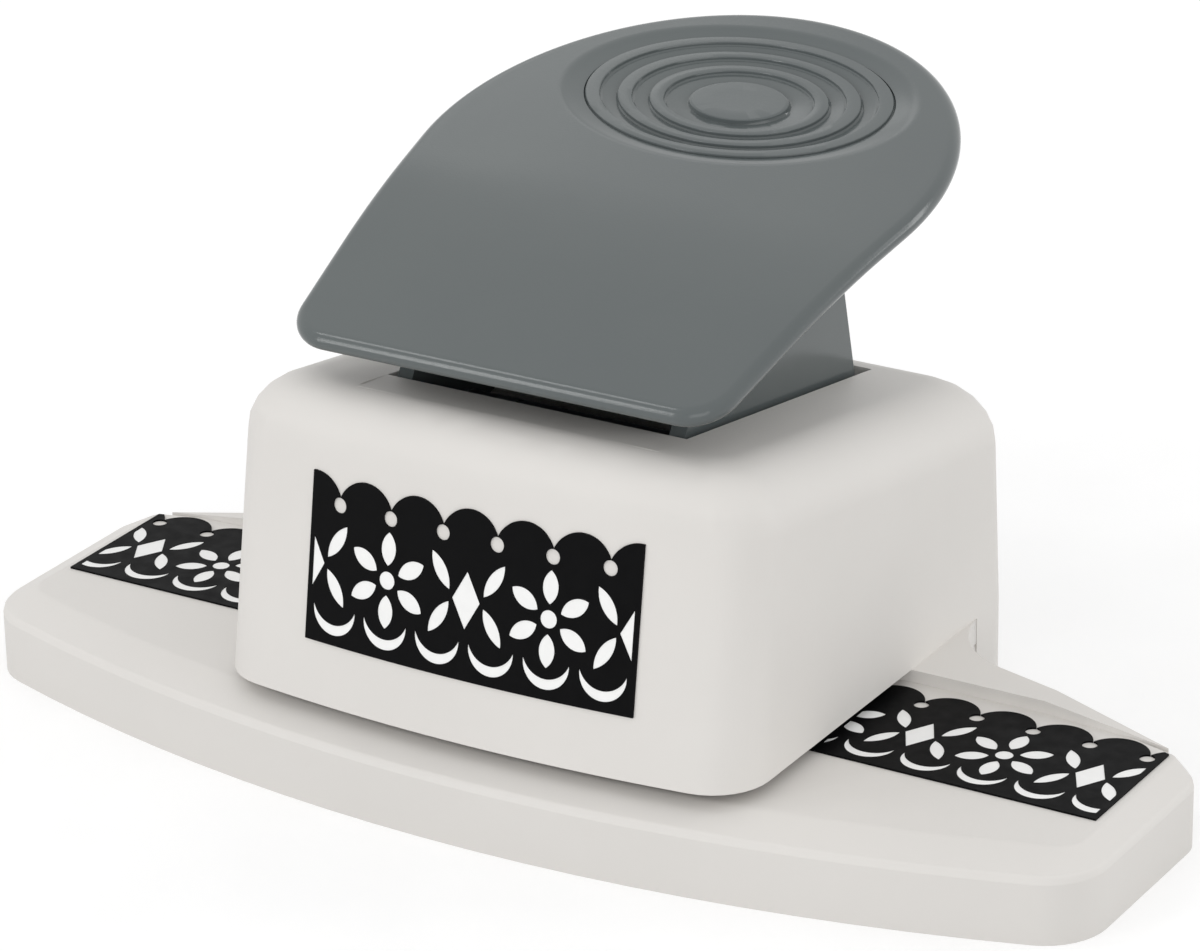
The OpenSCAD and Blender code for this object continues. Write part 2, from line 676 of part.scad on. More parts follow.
// Rings of the plate's skin: an oval about the dish, a ring between oval and outline, and the outline
function oval(a) = [for (p = lever_outline(-rim)) let (t = atan2((p[1] - dish_y) / dish_k, p[0]))
    [a * cos(t), dish_y + a * dish_k * sin(t)]];
function oval_ring(a, d) = [for (p = oval(a)) off_plate(p, d)];
function mid_ring(t, d) = let (inner = oval(dish_a), outer = lever_outline(-rim))
    [for (i = [0:len(inner) - 1]) off_plate(inner[i] + (outer[i] - inner[i]) * t, d)];
function rim_ring(t) = [for (p = lever_outline(rim * (cos(t) - 1))) off_plate(p, rim * sin(t))];

// Places a child on the plate's mid plane at y, square to the plate
module on_plate(x, y) {
    translate([x, y, lever_z(y)]) rotate([atan(slope_at(y)), 0, 0]) children();
}

dish_k = dish_b / dish_a;
bowl_c = dish_d * 1.6;
bowl_a = dish_a / sqrt(1 - pow(1 - dish_d / bowl_c, 2));
function bowl_z(r) = rim + bowl_c - dish_d - bowl_c * sqrt(1 - pow(r / bowl_a, 2));
function ring_at(k) = button_a + (ring_a - button_a) * k / rings;

// Skin of the plate from below the dish, round the rim, and over the rings to the button
module lever_skin() loft(concat(
    [oval_ring(dish_a * 0.8, -rim)],
    [for (t = [0.1:0.1:0.9]) mid_ring(t, -rim)],
    [for (t = [-90:22.5:90]) rim_ring(t)],
    [for (t = [0.75, 0.5, 0.25, 0]) mid_ring(t, rim)],
    [for (k = [rings:-1:1], e = [[0.5, 0], [0.36, 1], [-0.36, 1], [-0.5, 0]])
        oval_ring(ring_at(k) + e[0] * ring_w, bowl_z(ring_at(k)) + e[1] * ring_h)],
    [oval_ring(button_a, bowl_z(0)), oval_ring(button_a - 0.5, bowl_z(0) + ring_h),
        oval_ring(button_a - 1.2, bowl_z(0) + ring_h + 0.3)]));

module lever_cover() at_frame() color(grey_c) difference() {
    union() {
        lever_skin();
        for (p = lever_screw_at) on_plate(p[0], p[1]) translate([0, 0, -rim - arm_t])
            cylinder(r = screw_d / 2 + 2, h = arm_t + rim / 2);
    }
    for (p = lever_screw_at) on_plate(p[0], p[1]) translate([0, 0, -rim - arm_t - 1])
        cylinder(r = screw_d / 2 + slip, h = arm_t + 1 + rim + 0.6);
}

// Lever arm: a channel of two cheeks, a top flange and a leaning rear wall
arm_front = -lever_front + 4;
arm_lean = tan(13.2);
foot_z = block_top + 2;
arm_top_y = arm_rear - (lever_z(arm_rear - 8) - rim - foot_z) * arm_lean;
arm_ys = [for (t = [0:0.1:1]) arm_front + (arm_top_y - arm_front) * t];
boss_r = pivot_d / 2 + 3;

module lever_arm() at_frame() color(grey_c) difference() {
    union() {
        both_sides() across(arm_w / 2 - arm_t, arm_w / 2) {
            polygon(concat([for (y = arm_ys) below(y, rim + slip)], [[arm_rear, foot_z],
                [arm_rear - 5, foot_z + 1.5], [bar_y + 14, foot_z + 5], [bar_y + 5, bar_z + 1],
                [bar_y - 3, bar_z - 2], [pivot_y, pivot_z - 2]]));
            translate([bar_y, bar_z]) circle(bar_d / 2 + 1.8);
            translate([pivot_y, pivot_z]) circle(boss_r);
        }
        across(arm_t - arm_w / 2, arm_w / 2 - arm_t) {
            polygon(concat([for (y = arm_ys) below(y, rim + slip)],
                [for (i = [10:-1:0]) below(arm_ys[i], rim + arm_t)]));
            polygon([below(arm_top_y, rim + slip), [arm_rear, foot_z], [arm_rear - arm_t, foot_z],
                below(arm_top_y - arm_t, rim + slip)]);
        }
        both_sides() along_x(arm_w / 2 - 6.5, arm_w / 2, pivot_y, pivot_z, boss_r);
    }
    along_x(-arm_w, arm_w, pivot_y, pivot_z, pivot_d / 2 + run);
    along_x(-arm_w, arm_w, bar_y, bar_z, bar_d / 2);
    for (p = lever_screw_at) on_plate(p[0], p[1]) translate([0, 0, -rim - arm_t - 2])
        cylinder(r = screw_d / 2 + 2 + slip, h = arm_t + 4);
}

module lever_screws() at_frame() color(steel_c) for (p = lever_screw_at) on_plate(p[0], p[1])
    translate([0, 0, -rim - arm_t - 0.05]) screw(arm_t + rim, head = head_d + 3.4);

module press_bar() at_frame() color(steel_c) along_x(-arm_w / 2, arm_w / 2, bar_y, bar_z, bar_d / 2);

base_shell();
bottom_cover();
bottom_screws();
deck_film_left();
deck_film_right();
die_plate();
die_spacer();
guide_plate();
die_screws();
guide_posts();
post_clips();
return_springs();
punch_set();
punch_carrier();
punch_screws();
post_bushes();
press_block();
housing();
housing_screws();
front_label();
pivot_pin();
pivot_clips();
lever_cover();
lever_arm();
lever_screws();
press_bar();
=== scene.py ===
import json
import math

import bmesh
import bpy
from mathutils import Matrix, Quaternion, Vector

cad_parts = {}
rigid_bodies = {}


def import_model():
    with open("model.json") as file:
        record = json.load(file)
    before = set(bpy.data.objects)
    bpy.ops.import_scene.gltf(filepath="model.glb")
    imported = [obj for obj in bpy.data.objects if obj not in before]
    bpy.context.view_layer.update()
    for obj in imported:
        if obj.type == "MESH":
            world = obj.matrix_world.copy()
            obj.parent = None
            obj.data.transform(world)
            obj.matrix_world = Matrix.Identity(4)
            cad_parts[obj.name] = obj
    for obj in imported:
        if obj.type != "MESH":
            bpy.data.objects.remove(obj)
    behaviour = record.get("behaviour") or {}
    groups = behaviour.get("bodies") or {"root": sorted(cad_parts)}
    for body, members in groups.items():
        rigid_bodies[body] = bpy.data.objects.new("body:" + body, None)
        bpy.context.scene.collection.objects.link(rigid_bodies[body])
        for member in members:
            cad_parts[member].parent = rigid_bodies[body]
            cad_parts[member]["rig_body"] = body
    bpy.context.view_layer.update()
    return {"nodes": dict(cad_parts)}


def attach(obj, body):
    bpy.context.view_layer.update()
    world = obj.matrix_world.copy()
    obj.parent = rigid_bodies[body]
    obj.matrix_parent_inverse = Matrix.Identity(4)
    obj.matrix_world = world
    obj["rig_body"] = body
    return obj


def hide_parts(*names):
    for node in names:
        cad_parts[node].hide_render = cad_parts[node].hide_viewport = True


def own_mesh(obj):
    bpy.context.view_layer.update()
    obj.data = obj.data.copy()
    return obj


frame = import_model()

# Sizes are in millimetres and in the drawing's coordinates, where Y is 0 at the cut line.
MM = 0.001
CUT_LINE_Y = -24.0   # the cut line's place in the frame

# Lever plate: side view, outline and rim
LEVER_FRONT = 14.6
LEVER_Z0 = 65.2
TILT_FRONT = math.tan(math.radians(20.3))
TILT_REAR = math.tan(math.radians(13.0))
BEND_Y = 4.5
BEND_L = 21.0
LEVER_W0 = 36.2
LEVER_CORNER = 7.0
PADDLE_R = 41.4
PADDLE_Y = 36.6
RIM = 1.6

# Finger dish: an oval bowl with rings round a button. Half lengths end in _A, and GROOVE_NEAR and
# GROOVE_FAR are shares of the ring's width.
DISH_Y = 55.0
DISH_A = 28.5
DISH_B = 18.2
DISH_K = DISH_B / DISH_A
DISH_D = 1.8
DISH_SHOULDER = 1.6
BOWL_DEEPER = 1.6
UNDERSIDE_OVAL = 0.8
RINGS = 3
RING_A = 23.6
RING_W = 2.4
RING_H = 0.5
RING_GAP = 0.3
GROOVE_D = 0.15
GROOVE_NEAR, GROOVE_FAR = 0.62, 0.75
BUTTON_A = 8.1
BUTTON_H = 0.6

# Ring edge by shares of the ring's width and height, groove round the button by outset and share of
# its depth, button by inset and share of its height
RING_SHOULDER = [(0.5, 0.1), (0.48, 0.8), (0.45, 0.95), (0.4, 1)]
BUTTON_GROOVE = [(1.2, 0), (0.6, 1), (0.2, 1)]
BUTTON_PROFILE = [(0, 0.2), (0.1, 0.75), (0.3, 0.95), (0.6, 1), (4, 0.97), (6.5, 0.95)]

# Lever arm
ARM_T = 2.5
ARM_ROUND = 0.35
FLANGE_FRONT = -3.5
FLANGE_GAP = 0.4
PIVOT_Y = -8.0
BOSS_REAR = 5.0
BOSS_TOP = 56.6

# Housing and the lip in its slot
HOUSE_FOOT_Z = 14.1
FOOT_ROUND = 0.5
TOP_H, TOP_SLOPE_DEG = 57.2, 9.0
SLOT_FRONT, SLOT_W = -11.4, 50.0
LIP_REAR = -3.6
LIP_T = 1.4
LIP_DROOP = 0.2

# Printed films
FILM_T = 0.3
INK_DROP = 0.06

# Mesh work: steps of the loft, tolerances and angles
DISH_STEPS = 8
FRONT_STEPS, CORNER_STEPS, SIDE_STEPS, END_STEPS = 10, 14, 16, 60
SPREAD_STEPS, RIM_STEPS = 12, 12
NEAR = 0.05
MERGE = 0.001
FLAT_DEG, SMOOTH_DEG, EDGE_DEG = 0.5, 32, 40
FACING_COS = 0.7


def at_frame(x, y, z):
    return (x * MM, (y + CUT_LINE_Y) * MM, z * MM)


def arc(cx, cy, r, start, end, steps):
    """Points of an arc, by angle from the front towards +X, in degrees."""
    turns = [math.radians(start + (end - start) * i / steps) for i in range(steps + 1)]
    return [(cx + r * math.sin(a), cy - r * math.cos(a)) for a in turns]


def mirrored(points):
    return [(-x, y) for x, y in reversed(points)]


def between(p, q, t):
    return (p[0] + (q[0] - p[0]) * t, p[1] + (q[1] - p[1]) * t)


def lofted(name, rings):
    """Mesh through a stack of rings with equal point counts, closed by a face at each end."""
    n = len(rings[0])
    points = [p for ring in rings for p in ring]
    faces = [tuple(range(n - 1, -1, -1))]
    for k in range(len(rings) - 1):
        for j in range(n):
            a, b = k * n + j, k * n + (j + 1) % n
            faces.append((a, b, b + n, a + n))
    last = (len(rings) - 1) * n
    faces.append(tuple(range(last, last + n)))
    mesh = bpy.data.meshes.new(name)
    mesh.from_pydata(points, [], faces)
    return mesh


def prism(name, profile, half_width):
    """Solid with a profile of [y, z] points, counterclockwise, from side to side."""
    return lofted(name, [[at_frame(x, y, z) for y, z in profile] for x in (-half_width, half_width)])


def shade(mesh):
    """Smooth shading that keeps sharp edges."""
    mesh.polygons.foreach_set("use_smooth", [True] * len(mesh.polygons))
    mesh.set_sharp_from_angle(angle=math.radians(SMOOTH_DEG))
    mesh.update()


def even_flats(obj):
    """Shades by face area, so that flat faces look flat up to their rounded edges."""
    obj.modifiers.new("area_normals", "WEIGHTED_NORMAL").keep_sharp = True


def piece(name, mesh, material, body, slot, *nodes):
    """A new piece that moves with a body and stands for the CAD nodes named, if any are."""
    obj = bpy.data.objects.new(name, mesh)
    bpy.context.scene.collection.objects.link(obj)
    mesh.materials.clear()
    mesh.materials.append(material)
    if nodes:
        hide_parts(*nodes)
    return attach(obj, body)


def body_of(node):
    return frame["nodes"][node]["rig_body"]


def node_shape(node):
    """A CAD node's shape, with its triangles joined to flat faces."""
    bm = bmesh.new()
    bm.from_mesh(frame["nodes"][node].data)
    bmesh.ops.remove_doubles(bm, verts=bm.verts, dist=MERGE * MM)
    bmesh.ops.dissolve_limit(bm, angle_limit=math.radians(FLAT_DEG), verts=bm.verts, edges=bm.edges)
    return bm


def add_mesh(bm, mesh):
    """Adds a mesh to a shape, and drops the mesh."""
    bm.from_mesh(mesh)
    bpy.data.meshes.remove(mesh)


def carve(bm, tool):
    """Takes a mesh's volume out of a shape, and drops the mesh."""
    mesh = bpy.data.meshes.new("carving")
    bm.to_mesh(mesh)
    objects = [bpy.data.objects.new("carving", data) for data in (mesh, tool)]
    for obj in objects:
        bpy.context.scene.collection.objects.link(obj)
    cut = objects[0].modifiers.new("cut", "BOOLEAN")
    cut.operation = "DIFFERENCE"
    cut.object = objects[1]
    bm.clear()
    bm.from_object(objects[0], bpy.context.evaluated_depsgraph_get())
    for obj in objects:
        bpy.data.objects.remove(obj)
    for data in (mesh, tool):
        bpy.data.meshes.remove(data)


def break_edges(bm, width, picked=lambda edge: True):
    """Rounds off the sharp edges that a test picks."""
    sharp = [e for e in bm.edges if e.is_manifold and e.calc_face_angle(0) > math.radians(EDGE_DEG)]
    bmesh.ops.bevel(bm, geom=[e for e in sharp if picked(e)], offset=width * MM, segments=2, profile=0.5,
                    affect="EDGES", clamp_overlap=True)


def mesh_from(name, bm):
    """Mesh of a shape that isn't needed any more."""
    mesh = bpy.data.meshes.new(name)
    bm.to_mesh(mesh)
    bm.free()
    return mesh


def skin(node, bm, material, slot):
    """Piece that stands for one CAD node and has a mesh of its own."""
    name = node + "_skin"
    mesh = mesh_from(name, bm)
    shade(mesh)
    even_flats(piece(name, mesh, material, body_of(node), slot, node))


# Base and housing


def base_skin():
    skin("base_shell", node_shape("base_shell"), WHITE, "white_plastic")


def slot_lip():
    """Lip that narrows the gap in front of the lever arm."""
    def top_z(y):
        return TOP_H - y * math.tan(math.radians(TOP_SLOPE_DEG))

    front, rear = top_z(SLOT_FRONT) - LIP_DROOP, top_z(LIP_REAR)
    profile = [(SLOT_FRONT, front - LIP_T), (LIP_REAR, rear - LIP_T), (LIP_REAR, rear), (SLOT_FRONT, front)]
    return prism("slot_lip", profile, SLOT_W / 2)


def housing_skin():
    """Housing with a rounded lower edge and a lip in its slot."""
    def lower_edge(edge):
        return all(abs(v.co.z - HOUSE_FOOT_Z * MM) < NEAR * MM for v in edge.verts)

    bm = node_shape("housing")
    break_edges(bm, FOOT_ROUND, lower_edge)
    add_mesh(bm, slot_lip())
    skin("housing", bm, WHITE, "white_plastic")


# Return springs


def springs_skin():
    """Return springs between the guide plate and the carrier, on a copy of the CAD mesh."""
    mesh = frame["nodes"]["return_springs"].data.copy()
    coils = piece("return_coils", mesh, STEEL, body_of("return_springs"), "tool_steel", "return_springs")
    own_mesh(coils)


# Printed films


def opening_loops(bm, facing):
    """Closed loops of vertices round a film's openings, on the face that is seen."""
    links = {}
    for edge in bm.edges:
        seen = [face.normal.dot(facing) > FACING_COS for face in edge.link_faces]
        if sorted(seen) == [False, True]:
            for vert in edge.verts:
                links.setdefault(vert, []).append(edge.other_vert(vert))
    loops = []
    while links:
        loop = []
        vert = next(iter(links))
        while vert is not None:
            loop.append(vert)
            vert = next((v for v in links.pop(vert) if v in links), None)
        loops.append(loop)
    outline = max(loops, key=len)
    return [loop for loop in loops if loop is not outline]


def white_print(node, facing):
    """White ink in a film's openings, a little lower than the black round it."""
    film = node_shape(node)
    ink = bmesh.new()
    for loop in opening_loops(film, facing):
        levels = [[v.co - facing * depth * MM for v in loop] for depth in (FILM_T, INK_DROP)]
        add_mesh(ink, lofted("ink", levels))
    film.free()
    bmesh.ops.recalc_face_normals(ink, faces=ink.faces)
    name = node + "_white"
    piece(name, mesh_from(name, ink), WHITE_INK, body_of(node), "white_plastic")


# Lever


def slope_at(y):
    t = min(max((y - BEND_Y) / BEND_L, 0), 1)
    return TILT_FRONT + (TILT_REAR - TILT_FRONT) * t


def lever_z(y):
    t = min(max(y - BEND_Y, 0), BEND_L)
    front = TILT_FRONT * (min(y, BEND_Y) + LEVER_FRONT + t)
    bend = (TILT_REAR - TILT_FRONT) * t * t / (2 * BEND_L)
    return LEVER_Z0 + front + bend + TILT_REAR * max(y - BEND_Y - BEND_L, 0)


def off_plate(p, d):
    """A plan point lifted off the plate's mid plane by d, square to the plate."""
    a = math.atan(slope_at(p[1]))
    return at_frame(p[0], p[1] - d * math.sin(a), lever_z(p[1]) + d * math.cos(a))


def lever_outline(g):
    """The plate's outline grown by g: a front with round corners, straight sides and a round end."""
    cx, cy = LEVER_W0 - LEVER_CORNER, LEVER_CORNER - LEVER_FRONT
    reach = math.hypot(cx, PADDLE_Y - cy)
    turn = math.degrees(math.atan2(PADDLE_Y - cy, cx) - math.acos((PADDLE_R - LEVER_CORNER) / reach))
    corner = arc(cx, cy, LEVER_CORNER + g, 0, 90 - turn, CORNER_STEPS)
    end = arc(0, PADDLE_Y, PADDLE_R + g, 90 - turn, 180, END_STEPS)
    front = [(cx * i / FRONT_STEPS, -LEVER_FRONT - g) for i in range(1, FRONT_STEPS)]
    side = [between(corner[-1], end[0], i / SIDE_STEPS) for i in range(1, SIDE_STEPS)]
    right = front + corner + side + end[:-1]
    return [(0, -LEVER_FRONT - g)] + right + [end[-1]] + mirrored(right)


def bowl_z(r):
    """Height of the dish's bowl, part of a deeper ellipse, at a half length r."""
    depth = DISH_D * BOWL_DEEPER
    reach = DISH_A / math.sqrt(1 - (1 - DISH_D / depth) ** 2)
    return RIM + depth - DISH_D - depth * math.sqrt(1 - (r / reach) ** 2)


def dish_profile():
    """[half length, height] from the dish's edge over the rings to the button."""
    rows = []
    outer, inner = DISH_A + DISH_SHOULDER, RING_A + RING_W / 2 + RING_GAP
    for i in range(DISH_STEPS + 1):
        r = outer - (outer - inner) * i / DISH_STEPS
        rows.append((r, min(bowl_z(min(r, DISH_A)), RIM)))
    for k in range(RINGS, 0, -1):
        mid = BUTTON_A + (RING_A - BUTTON_A) * k / RINGS
        low = bowl_z(mid)
        rows.append((mid + GROOVE_NEAR * RING_W, low - GROOVE_D))
        for t, h in RING_SHOULDER + [(0, 1)] + mirrored(RING_SHOULDER):
            rows.append((mid + t * RING_W, low + h * RING_H))
        rows.append((mid - GROOVE_NEAR * RING_W, low - GROOVE_D))
        rows.append((mid - GROOVE_FAR * RING_W, low - GROOVE_D))
    low = bowl_z(0)
    rows += [(BUTTON_A + outset, low - d * GROOVE_D) for outset, d in BUTTON_GROOVE]
    rows += [(BUTTON_A - inset, low + h * BUTTON_H) for inset, h in BUTTON_PROFILE]
    return rows


def lever_mesh():
    """Plate lofted from its underside round the rim to the dish's button."""
    inner_line = lever_outline(-RIM)
    turns = [math.atan2((y - DISH_Y) / DISH_K, x) for x, y in inner_line]
    dish = dish_profile()

    def oval(a):
        return [(a * math.cos(t), DISH_Y + a * DISH_K * math.sin(t)) for t in turns]

    def ring(points, d):
        return [off_plate(p, d) for p in points]

    dish_edge = oval(dish[0][0])

    def spread(t):
        return [between(p, q, t) for p, q in zip(dish_edge, inner_line)]

    steps = [i / SPREAD_STEPS for i in range(1, SPREAD_STEPS)]
    rings = [ring(oval(DISH_A * UNDERSIDE_OVAL), -RIM)] + [ring(spread(t), -RIM) for t in steps]
    for i in range(RIM_STEPS + 1):
        a = math.radians(180 * i / RIM_STEPS - 90)
        rings.append(ring(lever_outline(RIM * (math.cos(a) - 1)), RIM * math.sin(a)))
    rings += [ring(spread(t), RIM) for t in reversed(steps)]
    rings += [ring(oval(a), d) for a, d in dish]
    return lofted("lever_plate", rings)


def plate_skin():
    mesh = lever_mesh()
    shade(mesh)
    even_flats(piece("lever_plate", mesh, GREY, "lever", "grey_plastic", "lever_cover"))


def arm_skin():
    """Lever arm whose cheeks lean back from the pivot boss to the plate, with broken edges."""
    def under_flange(y):
        return lever_z(y) - RIM - ARM_T - FLANGE_GAP

    notch = [
        (-LEVER_FRONT, BOSS_TOP),
        (PIVOT_Y + BOSS_REAR, BOSS_TOP),
        (BEND_Y, under_flange(BEND_Y)),
        (FLANGE_FRONT, under_flange(FLANGE_FRONT)),
        (FLANGE_FRONT, lever_z(FLANGE_FRONT)),
        (-LEVER_FRONT, lever_z(-LEVER_FRONT)),
    ]
    bm = node_shape("lever_arm")
    carve(bm, prism("arm_notch", notch, LEVER_W0))
    break_edges(bm, ARM_ROUND)
    skin("lever_arm", bm, GREY, "grey_plastic")


# Materials: texture scales, bump strengths and the band of a texture that carries its values
FLOW_SCALE, PRINT_SCALE, MARK_SCALE, FIBRE_SCALE = 26, 420, 300, 60
GRAIN_BUMP, MARK_BUMP = 0.35, 0.2
MARK_DEPTH = 0.02
BAND_LOW, BAND_HIGH = 0.3, 0.7
PRINT_ROUGH = (0.45, 0.6)
PRINT_SPECULAR = 0.06


def principled(name):
    mat = bpy.data.materials.new(name)
    mat.use_nodes = True
    return mat, mat.node_tree.nodes, mat.node_tree.links, mat.node_tree.nodes["Principled BSDF"]


def srgb(r, g, b):
    def linear(c):
        c /= 255
        return c / 12.92 if c <= 0.04045 else ((c + 0.055) / 1.055) ** 2.4
    return (linear(r), linear(g), linear(b), 1)


def noise(nodes, links, scale, detail, stretch=None):
    """Noise on object coordinates, optionally stretched along an axis."""
    source = nodes.new("ShaderNodeTexCoord").outputs["Object"]
    tex = nodes.new("ShaderNodeTexNoise")
    tex.inputs["Scale"].default_value = scale
    tex.inputs["Detail"].default_value = detail
    if stretch:
        mapping = nodes.new("ShaderNodeMapping")
        mapping.inputs["Scale"].default_value = stretch
        links.new(source, mapping.inputs["Vector"])
        source = mapping.outputs["Vector"]
    links.new(source, tex.inputs["Vector"])
    return tex.outputs["Fac"]


def ramp(nodes, links, source, low, high):
    """Map range from a texture's middle band to two values."""
    node = nodes.new("ShaderNodeMapRange")
    node.inputs["From Min"].default_value = BAND_LOW
    node.inputs["From Max"].default_value = BAND_HIGH
    node.inputs["To Min"].default_value = low
    node.inputs["To Max"].default_value = high
    links.new(source, node.inputs["Value"])
    return node.outputs["Result"]


def two_tone(nodes, links, source, first, second):
    """Two colours across a texture's middle band."""
    node = nodes.new("ShaderNodeValToRGB")
    for stop, place, colour in zip(node.color_ramp.elements, (BAND_LOW, BAND_HIGH), (first, second)):
        stop.position = place
        stop.color = colour
    links.new(source, node.inputs["Fac"])
    return node.outputs["Color"]


def bumped(nodes, links, source, shader, strength, depth):
    """Fine relief from a texture, its depth in millimetres."""
    bump = nodes.new("ShaderNodeBump")
    bump.inputs["Strength"].default_value = strength
    bump.inputs["Distance"].default_value = depth * MM
    links.new(source, bump.inputs["Height"])
    links.new(bump.outputs["Normal"], shader.inputs["Normal"])


def moulded(name, first, second, rough, grain, depth, specular):
    """Moulded plastic: faint flow marks in the colour, fine grain in the gloss and the surface."""
    mat, nodes, links, shader = principled(name)
    flow = noise(nodes, links, FLOW_SCALE, detail=4)
    fine = noise(nodes, links, grain, detail=2)
    links.new(two_tone(nodes, links, flow, first, second), shader.inputs["Base Color"])
    links.new(ramp(nodes, links, fine, *rough), shader.inputs["Roughness"])
    bumped(nodes, links, fine, shader, GRAIN_BUMP, depth)
    shader.inputs["Specular IOR Level"].default_value = specular
    return mat


def printed(name, first, second):
    """Printed film: dense ink with a faint mottle under a satin varnish."""
    mat, nodes, links, shader = principled(name)
    mottle = noise(nodes, links, PRINT_SCALE, detail=3)
    links.new(two_tone(nodes, links, mottle, first, second), shader.inputs["Base Color"])
    links.new(ramp(nodes, links, mottle, *PRINT_ROUGH), shader.inputs["Roughness"])
    shader.inputs["Specular IOR Level"].default_value = PRINT_SPECULAR
    return mat


def machined(name, first, second, rough, stretch):
    """Bare or plated metal with drawn or ground marks."""
    mat, nodes, links, shader = principled(name)
    marks = noise(nodes, links, MARK_SCALE, detail=4, stretch=stretch)
    links.new(two_tone(nodes, links, marks, first, second), shader.inputs["Base Color"])
    links.new(ramp(nodes, links, marks, *rough), shader.inputs["Roughness"])
    bumped(nodes, links, marks, shader, MARK_BUMP, MARK_DEPTH)
    shader.inputs["Metallic"].default_value = 1.0
    return mat


WHITE = moulded("white_plastic", srgb(220, 217, 213), srgb(224, 221, 217),
                rough=(0.48, 0.6), grain=2600, depth=0.02, specular=0.4)
GREY = moulded("grey_plastic", srgb(88, 94, 95), srgb(92, 98, 98),
               rough=(0.12, 0.18), grain=3200, depth=0.03, specular=0.45)
WHITE_INK = printed("white_print", srgb(244, 244, 243), srgb(248, 248, 247))
INK = printed("black_print", srgb(6, 6, 7), srgb(12, 12, 13))
STEEL = machined("tool_steel", srgb(168, 170, 174), srgb(186, 188, 192),
                 rough=(0.26, 0.4), stretch=(1, 1, 14))
ZINC = machined("zinc_plate", srgb(150, 153, 158), srgb(172, 175, 180),
                rough=(0.34, 0.5), stretch=(1, 8, 1))
CAST = machined("die_cast", srgb(132, 134, 138), srgb(150, 152, 156),
                rough=(0.45, 0.6), stretch=(1, 1, 1))
BRASS = machined("bush_brass", srgb(196, 164, 96), srgb(212, 182, 116),
                 rough=(0.3, 0.42), stretch=(1, 1, 10))

# Nodes with a mesh of their own here, finishes of the CAD meshes that aren't steel, and films by facing
SKINS = {
    "base_shell": base_skin,
    "housing": housing_skin,
    "lever_cover": plate_skin,
    "lever_arm": arm_skin,
    "return_springs": springs_skin,
}
FINISH = {
    "bottom_cover": WHITE,
    "deck_film_left": INK,
    "deck_film_right": INK,
    "front_label": INK,
    "punch_carrier": CAST,
    "die_plate": ZINC,
    "guide_plate": ZINC,
    "post_clips": ZINC,
    "pivot_clips": ZINC,
    "post_bushes": BRASS,
}
FILMS = {
    "deck_film_left": Vector((0, 0, 1)),
    "deck_film_right": Vector((0, 0, 1)),
    "front_label": Vector((0, -1, 0)),
}


def build():
    """Own meshes for the nodes in SKINS, a finish on every other CAD mesh, and the films' white print."""
    for node, obj in frame["nodes"].items():
        if node in SKINS:
            SKINS[node]()
        else:
            obj.data.materials.clear()
            obj.data.materials.append(FINISH.get(node, STEEL))
    for node, facing in FILMS.items():
        white_print(node, facing)


# Studio: azimuths run from the front (-Y) towards +X, angles are in degrees, lengths in metres.
CENTRE = Vector((0, 0, 0.03))
VIEW_TARGET = Vector((0.00845, -0.024, 0.0475))
VIEW_AZIMUTH, VIEW_ELEVATION, VIEW_ROLL = 31.69, 23.10, -1.08
VIEW_DISTANCE = 0.746
VIEW_END = 20
LENS, SENSOR = 157.2, 36.0
AMBIENT = 0.85
PLAIN_WHITE = (1, 1, 1, 1)
FLOOR_SIZE = 6.0
FLOOR_LIFT = 0.36
FLOOR_TONES = ((0.69, 0.69, 0.69, 1), (0.71, 0.71, 0.71, 1))
FLOOR_ROUGH, FLOOR_SPECULAR = 0.9, 0.1

# Soft boxes: azimuth, elevation, distance, width, height, power in watts
LAMPS = {
    "left_strip": (-31, 10, 1.5, 0.2, 1.0, 3.1),
    "front_box": (30, 8, 1.5, 1.0, 1.0, 3.9),
    "right_strip": (130, 12, 1.5, 0.3, 1.0, 3.4),
    "top_box": (-60, 55, 1.3, 0.25, 0.25, 0.8),
    "crest_box": (-139.3, 37.4, 1.16, 0.17, 0.17, 0.06),
}


def around(centre, azimuth, elevation, distance):
    """The point at a direction and a distance from a centre."""
    a, e = math.radians(azimuth), math.radians(elevation)
    return centre + distance * Vector((math.sin(a) * math.cos(e), -math.cos(a) * math.cos(e), math.sin(e)))


def aimed(name, data, place, target, roll=0.0):
    """Lamp or camera at a place, turned to a target and rolled about its own axis."""
    obj = bpy.data.objects.new(name, data)
    turn = (target - place).to_track_quat("-Z", "Y") @ Quaternion((0, 0, 1), math.radians(roll))
    obj.location = place
    obj.rotation_euler = turn.to_euler()
    bpy.context.scene.collection.objects.link(obj)
    return obj


def seen_directly(nodes, links):
    """Factor that is 1 for rays by which the backdrop is seen, and 0 for rays that light the object."""
    path = nodes.new("ShaderNodeLightPath")
    total = path.outputs["Is Camera Ray"]
    for kind in ("Is Glossy Ray", "Is Transmission Ray"):
        either = nodes.new("ShaderNodeMath")
        either.operation = "MAXIMUM"
        links.new(total, either.inputs[0])
        links.new(path.outputs[kind], either.inputs[1])
        total = either.outputs[0]
    return total


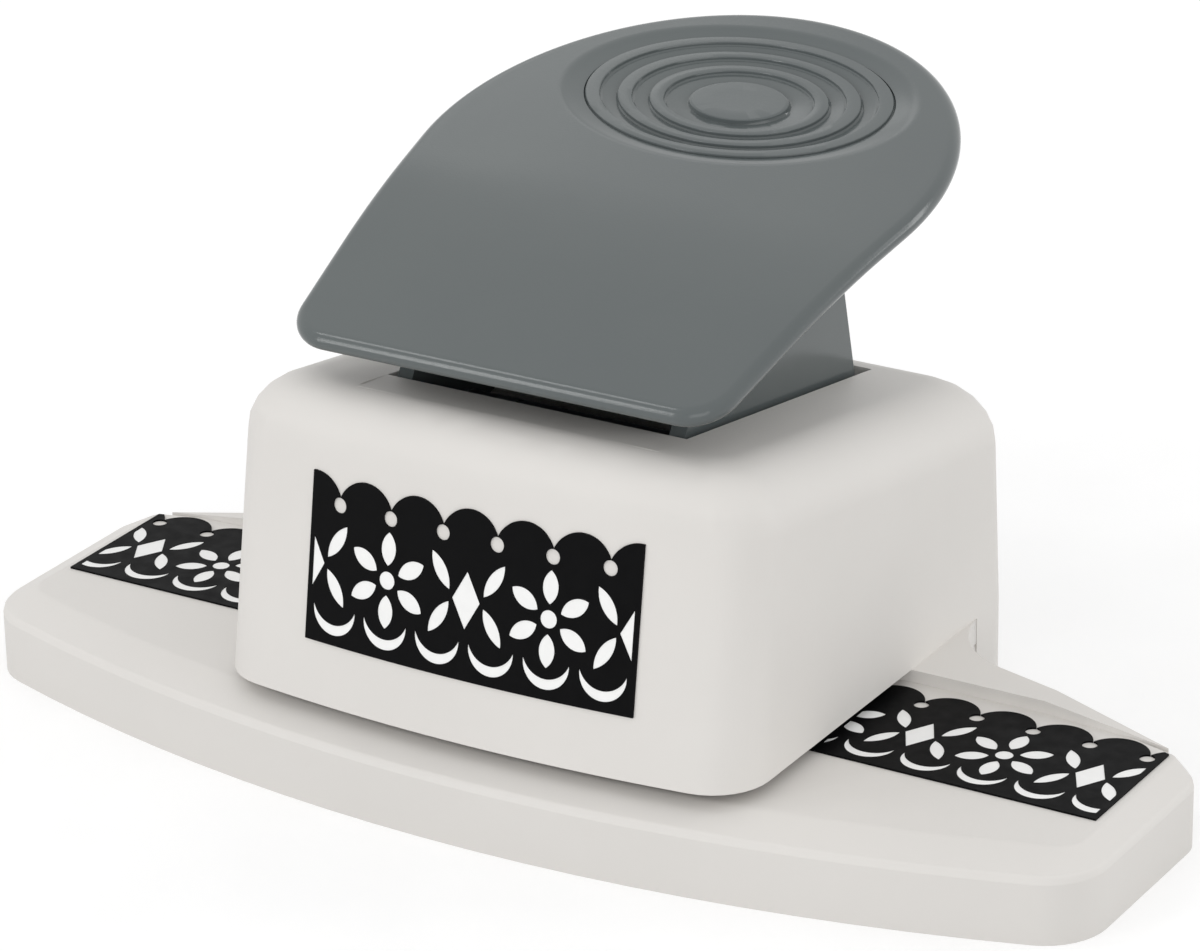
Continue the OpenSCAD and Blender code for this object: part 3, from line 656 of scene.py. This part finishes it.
def backdrop():
    """World that lights the object evenly and is plain white where it is seen."""
    world = bpy.data.worlds.new("studio")
    bpy.context.scene.world = world
    world.use_nodes = True
    nodes, links = world.node_tree.nodes, world.node_tree.links
    nodes.clear()
    mix = nodes.new("ShaderNodeMixShader")
    links.new(seen_directly(nodes, links), mix.inputs["Fac"])
    for place, strength in ((1, AMBIENT), (2, 1.0)):
        glow = nodes.new("ShaderNodeBackground")
        glow.inputs["Color"].default_value = PLAIN_WHITE
        glow.inputs["Strength"].default_value = strength
        links.new(glow.outputs[0], mix.inputs[place])
    links.new(mix.outputs[0], nodes.new("ShaderNodeOutputWorld").inputs["Surface"])


def floor_paper():
    """Pale paper, lifted to white only where it is seen."""
    mat, nodes, links, shader = principled("floor_paper")
    fibre = noise(nodes, links, FIBRE_SCALE, detail=3)
    links.new(two_tone(nodes, links, fibre, *FLOOR_TONES), shader.inputs["Base Color"])
    shader.inputs["Roughness"].default_value = FLOOR_ROUGH
    shader.inputs["Specular IOR Level"].default_value = FLOOR_SPECULAR
    shader.inputs["Emission Color"].default_value = PLAIN_WHITE
    lift = nodes.new("ShaderNodeMath")
    lift.operation = "MULTIPLY"
    lift.inputs[1].default_value = FLOOR_LIFT
    links.new(seen_directly(nodes, links), lift.inputs[0])
    links.new(lift.outputs[0], shader.inputs["Emission Strength"])
    return mat


def floor():
    """Floor that takes the object's shadow."""
    mesh = bpy.data.meshes.new("floor")
    corners = [(x * FLOOR_SIZE, y * FLOOR_SIZE, 0) for x, y in ((-1, -1), (1, -1), (1, 1), (-1, 1))]
    mesh.from_pydata(corners, [], [(0, 1, 2, 3)])
    mesh.materials.append(floor_paper())
    obj = bpy.data.objects.new("floor", mesh)
    bpy.context.scene.collection.objects.link(obj)


def softbox(name, azimuth, elevation, distance, width, height, power):
    lamp = bpy.data.lights.new(name, "AREA")
    lamp.shape = "RECTANGLE"
    lamp.size, lamp.size_y = width, height
    lamp.energy = power
    aimed(name, lamp, around(CENTRE, azimuth, elevation, distance), CENTRE)


def camera():
    cam = bpy.data.cameras.new("camera")
    cam.lens = LENS
    cam.sensor_width = SENSOR
    cam.sensor_fit = "HORIZONTAL"
    cam.clip_end = VIEW_END
    place = around(VIEW_TARGET, VIEW_AZIMUTH, VIEW_ELEVATION, VIEW_DISTANCE)
    bpy.context.scene.camera = aimed("camera", cam, place, VIEW_TARGET, VIEW_ROLL)


build()
backdrop()
floor()
for lamp_name, settings in LAMPS.items():
    softbox(lamp_name, *settings)
camera()
bpy.context.scene.view_settings.view_transform = "Standard"
